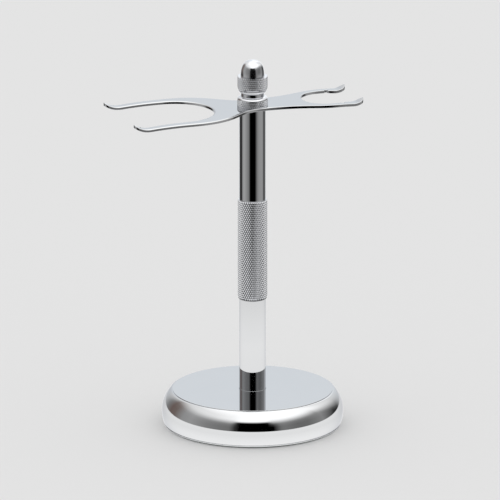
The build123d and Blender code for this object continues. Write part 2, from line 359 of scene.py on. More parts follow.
@dataclass(frozen=True)
class ZincPlate(Finish):
    """Zinc-plated steel with a faint passivation tint."""

    name: str = "zinc_plate"
    slot: Slot = Slot.ZINC
    blue: Colour = (0.55, 0.57, 0.60)
    grey: Colour = (0.66, 0.66, 0.65)
    straw: Colour = (0.70, 0.67, 0.58)

    def paint(self, graph: Graph) -> None:
        """Cloudy tint, fine grain.

        Args:
            graph: The material's nodes.
        """
        where = graph.place()
        cloud = graph.noise(where, scale=260.0, detail=3.0)
        grain = graph.noise(where, scale=5200.0, detail=2.0)
        tint = graph.ramp(cloud, ((0.3, self.blue), (0.55, self.grey), (0.8, self.straw)))
        graph.surface(
            {"Metallic": 1.0},
            {
                "Base Color": tint,
                "Roughness": 0.26 + cloud * 0.14,
                "Normal": graph.bump(grain, strength=0.15, distance=0.00002),
            },
        )


@dataclass(frozen=True)
class CastIron(Finish):
    """Faced grey cast iron, oiled."""

    name: str = "cast_iron"
    slot: Slot = Slot.IRON
    pit: Colour = (0.045, 0.045, 0.048)
    face: Colour = (0.16, 0.155, 0.15)

    def paint(self, graph: Graph) -> None:
        """Dark flecks and a sandy skin.

        Args:
            graph: The material's nodes.
        """
        where = graph.place()
        fleck = graph.noise(where, scale=1500.0, detail=4.0, rough=0.65)
        cloud = graph.noise(where, scale=120.0, detail=3.0)
        tint = graph.ramp(fleck, ((0.35, self.pit), (0.7, self.face)))
        graph.surface(
            {"Metallic": 0.85},
            {
                "Base Color": tint,
                "Roughness": 0.45 + cloud * 0.25,
                "Normal": graph.bump(fleck, strength=0.5, distance=0.00008),
            },
        )


@dataclass(frozen=True)
class FoamRubber(Finish):
    """Closed-cell foam rubber, matt, with fine pores."""

    name: str = "foam_rubber"
    slot: Slot = Slot.FOAM
    pore: Colour = (0.10, 0.112, 0.105)
    skin: Colour = (0.20, 0.215, 0.205)
    cells: float = 1900.0

    def paint(self, graph: Graph) -> None:
        """Pores as small cells, and a slow change of tone.

        Args:
            graph: The material's nodes.
        """
        where = graph.place()
        inputs = {"Vector": where, "Scale": self.cells}
        pores = graph.add("ShaderNodeTexVoronoi", None, inputs, "Distance")
        cloud = graph.noise(where, scale=90.0, detail=3.0)
        tint = graph.ramp(pores * 0.5 + cloud * 0.5, ((0.2, self.pore), (0.7, self.skin)))
        graph.surface(
            {"Metallic": 0.0, "Specular IOR Level": 0.25},
            {
                "Base Color": tint,
                "Roughness": 0.80 + pores * 0.15,
                "Normal": graph.bump(pores, strength=0.6, distance=0.00012),
            },
        )


@dataclass(frozen=True)
class NaturalNylon(Finish):
    """Undyed nylon, slightly milky."""

    name: str = "natural_nylon"
    slot: Slot = Slot.NYLON
    cloudy: Colour = (0.78, 0.76, 0.69)
    milky: Colour = (0.86, 0.85, 0.80)

    def paint(self, graph: Graph) -> None:
        """A cloudy cream tone with a cut-edge grain.

        Args:
            graph: The material's nodes.
        """
        where = graph.place()
        cloud = graph.noise(where, scale=400.0, detail=3.0)
        grain = graph.noise(where, scale=6000.0, detail=2.0)
        graph.surface(
            {"Metallic": 0.0},
            {
                "Base Color": graph.mix(cloud, self.cloudy, self.milky),
                "Roughness": 0.38 + grain * 0.15,
                "Normal": graph.bump(grain, strength=0.2, distance=0.00002),
            },
        )


CHROME = MirrorChrome()
KNURL = KnurledChrome()
ZINC = ZincPlate()
IRON = CastIron()
FOAM = FoamRubber()
NYLON = NaturalNylon()


# -------------------------------------------------------------- turned pieces


@dataclass(frozen=True)
class Corner:
    """One corner of a turned outline, and the radius that breaks it."""

    r: float
    z: float
    round: float = 0.0


def at(r: float, z: float) -> Vector:
    """Returns a point of an outline in the XZ plane."""
    return Vector((r, 0.0, z))


def rounded(corners: Sequence[Corner], steps: int = 5) -> list[Vector]:
    """Rounds the corners of an open outline in the XZ plane.

    Each rounding has a guard point just outside both of its ends, which keeps flat faces flat
    under smooth shading.

    Args:
        corners: The corners in order; the first and the last have no rounding.
        steps: Straight pieces in each rounding.

    Returns:
        The points of the outline.
    """
    points: list[Vector] = []
    for index, corner in enumerate(corners):
        here = at(corner.r, corner.z)
        if corner.round <= 0.0:
            points.append(here)
            continue
        back = corners[index - 1]
        ahead = corners[index + 1]
        to_back = (at(back.r, back.z) - here).normalized()
        to_ahead = (at(ahead.r, ahead.z) - here).normalized()
        half = to_back.angle(to_ahead) / 2.0
        reach = corner.round / math.tan(half)
        middle = here + (to_back + to_ahead).normalized() * (corner.round / math.sin(half))
        guard = corner.round * GUARD
        start = here + to_back * reach
        end = here + to_ahead * reach
        points.append(start + to_back * guard)
        for step in range(steps + 1):
            arm = (start - middle).slerp(end - middle, step / steps)
            points.append(middle + arm.normalized() * corner.round)
        points.append(end + to_ahead * guard)
    return points


def arc(
    centre: tuple[float, float], radius: float, start: float, end: float, steps: int
) -> list[Vector]:
    """Divides a circle's arc in the XZ plane.

    Args:
        centre: The circle's centre as (r, z).
        radius: Its radius.
        start: First angle in degrees, from the +r direction towards +z.
        end: Last angle in degrees.
        steps: Straight pieces.

    Returns:
        The points, both ends included.
    """
    turns = [math.radians(start + (end - start) * step / steps) for step in range(steps + 1)]
    r, z = centre
    return [at(r + radius * math.cos(turned), z + radius * math.sin(turned)) for turned in turns]


def bezier(a: Corner, b: Corner, c: Corner, d: Corner, steps: int) -> list[Vector]:
    """Divides a cubic curve.

    Args:
        a: Its start.
        b: The control point that it leaves towards.
        c: The control point that it arrives from.
        d: Its end.
        steps: Straight pieces.

    Returns:
        The points, both ends included.
    """
    points = []
    for step in range(steps + 1):
        t = step / steps
        weights = ((1 - t) ** 3, 3 * t * (1 - t) ** 2, 3 * t * t * (1 - t), t**3)
        pairs = list(zip(weights, (a, b, c, d)))
        points.append(at(sum(w * s.r for w, s in pairs), sum(w * s.z for w, s in pairs)))
    return points


def turn(outline: Sequence[Vector], closed: bool, steps: int) -> bmesh.types.BMesh:
    """Spins an outline round the Z axis.

    Args:
        outline: Points in the XZ plane.
        closed: Whether the outline is a loop; otherwise both ends lie on the axis.
        steps: Faces round the circle.

    Returns:
        A closed mesh with its faces outward.
    """
    mesh = bmesh.new()
    verts = [mesh.verts.new(point) for point in outline]
    edges = [mesh.edges.new(pair) for pair in zip(verts, verts[1:])]
    if closed:
        edges.append(mesh.edges.new((verts[-1], verts[0])))
    bmesh.ops.spin(
        mesh,
        geom=verts + edges,
        cent=(0, 0, 0),
        axis=(0, 0, 1),
        angle=math.tau,
        steps=steps,
        use_merge=True,
    )
    bmesh.ops.remove_doubles(mesh, verts=mesh.verts, dist=MERGE)
    bmesh.ops.recalc_face_normals(mesh, faces=mesh.faces)
    return mesh


@dataclass(frozen=True)
class Knurl:
    """A diamond knurl rolled on a cylinder; its end rows run down onto the edges of the piece.

    The drops say how far the crests of the first rows, and of the last, lie below the rest.
    """

    radius: float
    bottom: float
    top: float
    foot_drops: Sequence[float]
    head_drops: Sequence[float]
    teeth: int = 42
    depth: float = 0.38 * MM
    row: float = 0.93 * MM
    flat: float = 0.12 * MM
    slack: float = 0.01 * MM
    row_slack: float = 0.02

    @property
    def rows(self) -> int:
        """Half diamonds along the band."""
        return max(2, round((self.top - self.bottom) / self.row))

    @property
    def rise(self) -> float:
        """Height of one half diamond."""
        return (self.top - self.bottom) / self.rows

    @property
    def steps(self) -> int:
        """Faces round the circle: two for each tooth."""
        return 2 * self.teeth

    def row_radius(self, row: int) -> float:
        """Finds how far out the crests of a row stand.

        Args:
            row: The row's number, from 0 at the bottom.

        Returns:
            The radius.
        """
        if row < len(self.foot_drops):
            return self.radius - self.foot_drops[row]
        from_top = self.rows - row
        return self.radius - (self.head_drops[from_top] if from_top < len(self.head_drops) else 0.0)

    def outline(self) -> list[Vector]:
        """Returns the band's own stretch of the outline, from bottom to top."""
        rows = range(self.rows + 1)
        return [at(self.row_radius(row), self.bottom + self.rise * row) for row in rows]

    def cut(self, mesh: bmesh.types.BMesh) -> None:
        """Sinks every other vertex of the band, which leaves four-sided teeth between grooves.

        Args:
            mesh: A mesh turned with this knurl's steps and outline.
        """
        # The groove layer marks the sunk vertices; the knurled chrome paints shade into the grooves
        # from it.
        groove = mesh.verts.layers.float.new("groove")
        crests = []
        band = set()
        for vert in mesh.verts:
            reach = math.hypot(vert.co.x, vert.co.y)
            place = (vert.co.z - self.bottom) / self.rise
            row = round(place)
            if not 0 <= row <= self.rows or abs(place - row) > self.row_slack:
                continue
            if abs(reach - self.row_radius(row)) > self.slack:
                continue
            band.add(vert)
            column = round(math.atan2(vert.co.y, vert.co.x) / math.tau * self.steps)
            if (column + row) % 2:
                share = 1.0 - self.depth / reach
                vert.co.x *= share
                vert.co.y *= share
                vert[groove] = 1.0
            elif 0 < row < self.rows:
                crests.append(vert)
        faces = [face for face in mesh.faces if all(vert in band for vert in face.verts)]
        bmesh.ops.triangulate(mesh, faces=faces, quad_method="SHORT_EDGE")
        bmesh.ops.bevel(
            mesh,
            geom=crests,
            offset=self.flat,
            segments=1,
            profile=0.5,
            affect="VERTICES",
            material=-1,
        )


@dataclass(frozen=True)
class Thread:
    """A V thread cut on a rod along Z."""

    radius: float = 3.0 * MM
    pitch: float = 1.0 * MM
    depth: float = 0.55 * MM
    steepness: float = 1.25
    crest: float = 0.12
    slack: float = 0.03 * MM
    slices: int = 8

    def outline(self, bottom: float, top: float, chamfer: float) -> list[Vector]:
        """Draws a rod's outline with enough points for the thread.

        Args:
            bottom: Height of the rod's lower end.
            top: Height of its upper end.
            chamfer: Width and height of the chamfer at both ends.

        Returns:
            The points, from axis to axis.
        """
        count = round((top - bottom - 2 * chamfer) / self.pitch * self.slices)
        rise = (top - bottom - 2 * chamfer) / count
        side = [at(self.radius, bottom + chamfer + rise * step) for step in range(count + 1)]
        neck = self.radius - chamfer
        return [at(0.0, bottom), at(neck, bottom), *side, at(neck, top), at(0.0, top)]

    def cut(self, mesh: bmesh.types.BMesh, bottom: float, top: float) -> None:
        """Sinks the rod's surface along a helix.

        Args:
            mesh: The turned rod.
            bottom: Height where the thread starts.
            top: Height where it ends.
        """
        for vert in mesh.verts:
            reach = math.hypot(vert.co.x, vert.co.y)
            if reach < self.radius - self.slack or not bottom <= vert.co.z <= top:
                continue
            turned = math.atan2(vert.co.y, vert.co.x) / math.tau
            phase = (vert.co.z / self.pitch - turned) % 1.0
            slope = self.steepness * (1.0 - abs(2.0 * phase - 1.0)) - self.crest
            sink = self.depth * min(1.0, max(0.0, slope))
            share = (self.radius - sink) / self.radius
            vert.co.x *= share
            vert.co.y *= share


def finish_piece(
    name: str, mesh: bmesh.types.BMesh, finish: Finish, body: Body, node: str
) -> bpy.types.Object:
    """Makes an object from a mesh, dresses it and puts it on its body.

    Args:
        name: The piece's name.
        mesh: Its geometry; it is freed here.
        finish: Its surface.
        body: The rigid body that carries it.
        node: The CAD node that it replaces.

    Returns:
        The object.
    """
    data = bpy.data.meshes.new(name)
    mesh.to_mesh(data)
    mesh.free()
    data.shade_smooth()
    data.set_sharp_from_angle(angle=SHARP_ANGLE)
    piece = bpy.data.objects.new(name, data)
    bpy.context.scene.collection.objects.link(piece)
    data.materials.append(finish.make())
    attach(piece, body.value)
    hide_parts(node)
    LOG.info("%s: %d faces on %s", name, len(data.polygons), body.value)
    return piece


def dress_node(node: str, finish: Finish) -> None:
    """Gives a CAD node that keeps its shape a finish of its own.

    Args:
        node: The node's name.
        finish: Its surface.
    """
    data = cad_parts[node].data
    data.materials.clear()
    data.materials.append(finish.make())
    LOG.info("%s: CAD shape, %s", node, finish.name)


# -------------------------------------------------------------------- the base


@dataclass
class Base:
    """Round weighted foot: a plated shell, its foam pad, and the ballast and screw inside.

    The crease is the soft edge that the side turns over to the top, and crease_in and
    crease_down are shares of it. The lip is a fine step round the flat top.
    """

    widest: float = 41.2 * MM
    widest_z: float = 6.6 * MM
    side: float = 13.8 * MM
    crease: float = 1.1 * MM
    lip: float = 0.25 * MM
    rim: float = 0.5 * MM
    seat_gap: float = 0.05 * MM
    seat_depth: float = 0.8 * MM
    seat_land: float = 2.0 * MM
    seat_break: float = 0.12 * MM
    lip_break: float = 0.05 * MM
    crease_in: float = 0.55
    crease_down: float = 0.45
    roof: float = 2.0 * MM
    pad_gap: float = 0.1 * MM
    pad_round: float = 0.35 * MM
    pad_break: float = 0.1 * MM
    side_steps: int = 56
    steps: int = 256

    def __post_init__(self) -> None:
        """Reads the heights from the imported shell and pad."""
        low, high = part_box("base_shell")
        pad_low, pad_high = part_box("base_pad")
        self.bottom, self.top = low.z, high.z
        self.pad_bottom, self.pad_top = pad_low.z, pad_high.z
        self.pad_radius = pad_high.x
        self.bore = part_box("column_lower")[1].x + self.seat_gap

    def side_radius(self, height: float) -> float:
        """Returns the radius of the rounded side at a height."""
        return self.widest - self.side + math.sqrt(self.side**2 - (height - self.widest_z) ** 2)

    def shell(self) -> bmesh.types.BMesh:
        """Turns the shell: rounded side, soft crease, flat top with a seat, hollow below.

        Returns:
            The shell's mesh.
        """
        hem = self.pad_radius + self.pad_gap
        foot = self.side_radius(self.bottom)
        shoulder = self.top - self.lip
        crown = self.side_radius(shoulder)
        edge = crown - self.crease * self.crease_in
        centre = (self.widest - self.side, self.widest_z)
        low_turn = math.degrees(math.asin((self.bottom + self.rim - self.widest_z) / self.side))
        ring_top = shoulder - self.crease * self.crease_down
        high_turn = math.degrees(math.asin((ring_top - self.widest_z) / self.side))
        ring = arc(centre, self.side, low_turn, high_turn, self.side_steps)
        edge_low = [
            Corner(ring[1].x, ring[1].z),
            Corner(foot, self.bottom, self.rim),
            Corner(hem, self.bottom),
        ]
        edge_top = [
            Corner(ring[-2].x, ring[-2].z),
            Corner(crown, shoulder, self.crease),
            Corner(edge, shoulder),
            Corner(edge, self.top, self.lip_break),
            Corner(self.bore, self.top),
        ]
        bottom_edge = list(reversed(rounded(list(reversed(edge_low)))[1:-1]))
        top_edge = rounded(edge_top)[1:-1]
        seat_floor = self.top - self.seat_depth
        seat = [
            Corner(self.bore + self.seat_land, self.top),
            Corner(self.bore, self.top, self.seat_break),
            Corner(self.bore, seat_floor),
        ]
        roof = seat_floor - self.roof
        inner = [
            at(self.bore, seat_floor),
            at(0.0, seat_floor),
            at(0.0, roof),
            at(hem, roof),
            at(hem, self.bottom),
        ]
        outline = [*bottom_edge, *ring[2:-2], *top_edge, *rounded(seat)[:-1], *inner]
        return turn(outline, True, self.steps)

    def pad(self) -> bmesh.types.BMesh:
        """Turns the foam pad, with its cut edge slightly rounded.

        Returns:
            The pad's mesh.
        """
        corners = [
            Corner(0.0, self.pad_bottom),
            Corner(self.pad_radius, self.pad_bottom, self.pad_round),
            Corner(self.pad_radius, self.pad_top, self.pad_break),
            Corner(0.0, self.pad_top),
        ]
        return turn(rounded(corners), False, self.steps)

    def build(self) -> None:
        """Builds and dresses the foot."""
        finish_piece("base_shell_plated", self.shell(), CHROME, Body.STAND, "base_shell")
        finish_piece("base_foam_pad", self.pad(), FOAM, Body.STAND, "base_pad")
        dress_node("base_weight", IRON)
        for node in ("base_screw", "base_washer", "base_lock_washer"):
            dress_node(node, ZINC)


# ------------------------------------------------------------------ the column


@dataclass
class Column:
    """Two polished bars and the knurled grip between them."""

    end_break: float = 0.3 * MM
    grip_edge: float = 0.14 * MM
    foot_drops: Sequence[float] = (0.24 * MM, 0.04 * MM)
    head_drops: Sequence[float] = (0.05 * MM,)
    steps: int = 192

    def bar(self, node: str) -> bmesh.types.BMesh:
        """Turns a plain bar the size of a packed one, with its end edges broken.

        Args:
            node: The CAD node that it stands for.

        Returns:
            The bar's mesh.
        """
        low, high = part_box(node)
        corners = [
            Corner(0.0, low.z),
            Corner(high.x, low.z, self.end_break),
            Corner(high.x, high.z, self.end_break),
            Corner(0.0, high.z),
        ]
        return turn(rounded(corners), False, self.steps)

    def grip(self) -> bmesh.types.BMesh:
        """Turns the grip: the knurl runs onto the small edge breaks at both ends.

        Returns:
            The grip's mesh.
        """
        low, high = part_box("grip_barrel")
        band = (low.z + self.grip_edge, high.z - self.grip_edge)
        knurl = Knurl(high.x, *band, self.foot_drops, self.head_drops)
        foot = knurl.row_radius(0) - self.grip_edge
        crown = knurl.row_radius(knurl.rows) - self.grip_edge * 2.0
        outline = [
            at(0.0, low.z),
            at(foot - self.grip_edge, low.z),
            at(foot, low.z),
            *knurl.outline(),
            at(crown, high.z),
            at(crown - self.grip_edge, high.z),
            at(0.0, high.z),
        ]
        mesh = turn(outline, False, knurl.steps)
        knurl.cut(mesh)
        return mesh

    def build(self) -> None:
        """Builds and dresses the column."""
        for name, node in (("lower_bar", "column_lower"), ("upper_bar", "column_upper")):
            finish_piece(name, self.bar(node), CHROME, Body.STAND, node)
        finish_piece("knurled_grip", self.grip(), KNURL, Body.STAND, "grip_barrel")
        for node in ("lower_stud", "upper_stud"):
            dress_node(node, ZINC)


# -------------------------------------------------------------- the fork plate


@dataclass(frozen=True)
class Bend:
    """How one end of the plate dips and then curls up, beyond its flat middle."""

    reach: float
    dip_run: float
    dip_angle: float
    curl_radius: float
    curl_angle: float

    @property
    def flat(self) -> float:
        """Distance from the column's axis to where the bend starts."""
        curl_run = self.curl_radius * math.sin(math.radians(self.curl_angle))
        return self.reach - self.dip_run - curl_run

    def height(self, beyond: float, side: float) -> float:
        """Finds the height of one side of the sheet over the flat middle line.

        Args:
            beyond: Distance past the start of the bend.
            side: Distance of that side from the middle of the thickness, upwards.

        Returns:
            The height.
        """
        tilt = math.radians(self.dip_angle)
        dip_radius = self.dip_run / tilt
        turning = dip_radius * math.sin(tilt)
        if beyond < turning + side * math.sin(tilt):
            return math.sqrt((dip_radius + side) ** 2 - beyond**2) - dip_radius
        centre = turning + self.curl_radius * math.sin(tilt)
        floor = dip_radius * (math.cos(tilt) - 1.0) + self.curl_radius * math.cos(tilt)
        return floor - math.sqrt((self.curl_radius - side) ** 2 - (beyond - centre) ** 2)


@dataclass
class ForkPlate:
    """Bent plate with a wide brush fork and a narrow razor fork, its edges polished over.

    It is rounded while flat, and flatten times as thick as it ends up, which makes the
    roundings lie low and wide. Towards the razor fork the upper ones get shallower, by the
    share crisp.
    """

    thickness: float = 1.4 * MM
    bore: float = 3.05 * MM
    waist: float = 8.2 * MM
    brush_root: float = 19.4 * MM
    brush_gap: float = 17.8 * MM
    brush_prong: float = 4.8 * MM
    brush_tip: float = 3.8 * MM
    brush_shoulder: float = 34.0 * MM
    razor_root: float = 23.8 * MM
    razor_gap: float = 10.9 * MM
    razor_prong: float = 3.2 * MM
    razor_shoulder: float = 38.0 * MM
    pad_width: float = 4.4 * MM
    pad_length: float = 8.6 * MM
    notch: float = 0.8 * MM
    brush_bend: Bend = Bend(64.0 * MM, 17.0 * MM, 4.5, 11.0 * MM, 44.0)
    razor_bend: Bend = Bend(48.8 * MM, 7.0 * MM, 4.0, 8.0 * MM, 44.0)
    edge_top: float = 0.80 * MM
    edge_bottom: float = 0.28 * MM
    flatten: float = 1.8
    crisp: float = 0.7
    crisp_run: float = 2.5
    segments: int = 6
    flank_shift: float = 7.0 * MM
    flank_extra: float = 2.0 * MM
    waist_shift: float = 3.0 * MM
    spacing: float = 0.01 * MM
    bore_slack: float = 0.03 * MM
    rim_angle: float = math.radians(60.0)
    gap_steps: int = 32
    tip_steps: int = 20
    flank_steps: int = 28
    notch_steps: int = 10
    bore_steps: int = 24
    dip_cuts: int = 10
    curl_cuts: int = 14
    flat_weight: int = 80

    @staticmethod
    def round_end(
        x: float, y: float, radius: float, start: float, end: float, steps: int
    ) -> list[Vector]:
        """Returns an arc of the plan outline; angles are in degrees from +X towards +Y."""
        return [Vector((point.x, point.z, 0.0)) for point in arc((x, y), radius, start, end, steps)]

    @staticmethod
    def sweep(a: Corner, b: Corner, c: Corner, d: Corner, steps: int) -> list[Vector]:
        """Returns a curve of the plan outline; a Corner's z stands for Y."""
        return [Vector((point.x, point.z, 0.0)) for point in bezier(a, b, c, d, steps)]

    def half_outline(self) -> list[Vector]:
        """Draws the outline of the +Y half, round the bore and back to its start.

        Returns:
            The points, each a little apart from the next.
        """
        brush_centre = -self.brush_root - self.brush_gap
        brush_outer = self.brush_gap + self.brush_prong
        tip = self.brush_tip / 2
        tip_x = -self.brush_bend.reach + tip
        tip_y = brush_outer - self.brush_prong / 2
        razor_centre = self.razor_root + self.razor_gap
        razor_outer = self.razor_gap + self.razor_prong
        pad_y = razor_outer - self.pad_width
        pad_tip = self.pad_width / 2
        pad_x = self.razor_bend.reach - pad_tip
        pad_start = self.razor_bend.reach - self.pad_length
        notch_x = pad_start - self.notch
        brush_flank = (self.brush_shoulder - self.flank_shift) / 2
        razor_flank = (self.razor_shoulder + self.flank_shift) / 2 + self.flank_extra
        points = [
            *self.round_end(brush_centre, 0.0, self.brush_gap, 0.0, 90.0, self.gap_steps),
            *self.round_end(tip_x, tip_y, tip, 270.0, 90.0, self.tip_steps),
            *self.sweep(
                Corner(-self.brush_shoulder, brush_outer),
                Corner(-brush_flank, brush_outer),
                Corner(-brush_flank + self.waist_shift, self.waist),
                Corner(0.0, self.waist),
                self.flank_steps,
            ),
            *self.sweep(
                Corner(0.0, self.waist),
                Corner(razor_flank, self.waist),
                Corner(razor_flank, razor_outer),
                Corner(self.razor_shoulder, razor_outer),
                self.flank_steps,
            ),
            *self.round_end(pad_x, razor_outer - pad_tip, pad_tip, 90.0, -90.0, self.tip_steps),
            *self.sweep(
                Corner(pad_x, pad_y),
                Corner(pad_start + self.notch, pad_y),
                Corner(pad_start, pad_y + self.notch / 2),
                Corner(pad_start, self.razor_gap),
                self.notch_steps,
            ),
            *self.round_end(notch_x, self.razor_gap, self.notch, 0.0, 180.0, self.notch_steps),
            *self.round_end(razor_centre, 0.0, self.razor_gap, 90.0, 180.0, self.bore_steps),
            *self.round_end(0.0, 0.0, self.bore, 0.0, 180.0, self.bore_steps),
        ]
        kept: list[Vector] = []
        for point in points:
            if not kept or (point - kept[-1]).length > self.spacing:
                kept.append(point)
        return kept

    def roll_edges(self, mesh: bmesh.types.BMesh, level: float, width: float) -> None:
        """Rounds the rim that lies at one level of the flat plate.

        Args:
            mesh: Half of the plate, still flat.
            level: Height of the rim.
            width: How far the rounding reaches onto the flat.
        """
        rim = [
            edge
            for edge in mesh.edges
            if all(abs(vert.co.z - level) < ON_PLANE for vert in edge.verts)
            and any(vert.co.xy.length > self.bore + self.bore_slack for vert in edge.verts)
            and len(edge.link_faces) == 2
            and edge.calc_face_angle() > self.rim_angle
        ]
        bmesh.ops.bevel(
            mesh,
            geom=rim,
            offset=width,
            offset_type="OFFSET",
            segments=self.segments,
            profile=0.5,
            affect="EDGES",
            material=-1,
            clamp_overlap=False,
        )

    def flat_half(self, tall: float) -> bmesh.types.BMesh:
        """Makes the +Y half, flat and open along its seam, with its rims rounded.

        Args:
            tall: Its thickness before it is flattened.

        Returns:
            The half's mesh, from the floor plane up.
        """
        mesh = bmesh.new()
        face = mesh.faces.new([mesh.verts.new(point) for point in self.half_outline()])
        made = bmesh.ops.extrude_face_region(mesh, geom=[face], use_keep_orig=True)
        raised = [item for item in made["geom"] if isinstance(item, bmesh.types.BMVert)]
        bmesh.ops.translate(mesh, verts=raised, vec=(0.0, 0.0, tall))
        seam = [
            face for face in mesh.faces if all(abs(vert.co.y) < ON_PLANE for vert in face.verts)
        ]
        bmesh.ops.delete(mesh, geom=seam, context="FACES_ONLY")
        bmesh.ops.recalc_face_normals(mesh, faces=mesh.faces)
        self.roll_edges(mesh, tall, self.edge_top)
        self.roll_edges(mesh, 0.0, self.edge_bottom)
        return mesh

    def cut_across(self, mesh: bmesh.types.BMesh, bend: Bend, way: float) -> None:
        """Divides one end across its length, so that it can bend.

        Args:
            mesh: The flat plate.
            bend: The end's bend.
            way: -1 for the end at -X, 1 for the end at +X.
        """
        curl_start = bend.flat + bend.dip_run
        curl_run = bend.reach - curl_start
        dip = [bend.dip_run * step / self.dip_cuts for step in range(self.dip_cuts + 1)]
        curl = [curl_run * step / self.curl_cuts for step in range(1, self.curl_cuts)]
        for cut in [bend.flat + run for run in dip] + [curl_start + run for run in curl]:
            bmesh.ops.bisect_plane(
                mesh,
                geom=mesh.verts[:] + mesh.edges[:] + mesh.faces[:],
                dist=MERGE,
                plane_co=(cut * way, 0, 0),
                plane_no=(1, 0, 0),
            )

    def mesh(self) -> bmesh.types.BMesh:
        """Makes the plate: mirrors the flat half, cuts both ends across and bends them.

        Returns:
            The plate's mesh.
        """
        half = self.thickness / 2
        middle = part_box("swivel_washer")[1].z + half
        tall = self.thickness * self.flatten
        mesh = self.flat_half(tall)
        geometry = mesh.verts[:] + mesh.edges[:] + mesh.faces[:]
        bmesh.ops.mirror(mesh, geom=geometry, axis="Y", merge_dist=ON_PLANE)
        bmesh.ops.recalc_face_normals(mesh, faces=mesh.faces)
        self.cut_across(mesh, self.brush_bend, -1.0)
        self.cut_across(mesh, self.razor_bend, 1.0)
        for vert in mesh.verts:
            bend = self.brush_bend if vert.co.x < 0.0 else self.razor_bend
            toward_razor = (vert.co.x + self.waist) / (self.crisp_run * self.waist)
            sunk = (tall - vert.co.z) / self.flatten
            if sunk < half:
                sunk *= 1.0 - min(1.0, max(0.0, toward_razor)) * self.crisp
            side = half - sunk
            beyond = abs(vert.co.x) - bend.flat
            if beyond > 0.0:
                low = bend.height(beyond, -half)
                high = bend.height(beyond, half)
                side = low + (high - low) * (side / self.thickness + 0.5)
            vert.co.z = middle + side
        mesh.normal_update()
        return mesh

    def build(self) -> None:
        """Builds and dresses the plate."""
        mesh = self.mesh()
        plate = finish_piece("fork_plate_bent", mesh, CHROME, Body.FORK, "fork_plate")
        weighted = plate.modifiers.new("flat_faces", "WEIGHTED_NORMAL")
        weighted.mode = "FACE_AREA"
        weighted.weight = self.flat_weight
        weighted.keep_sharp = True


# ----------------------------------------------------------------- the fixings


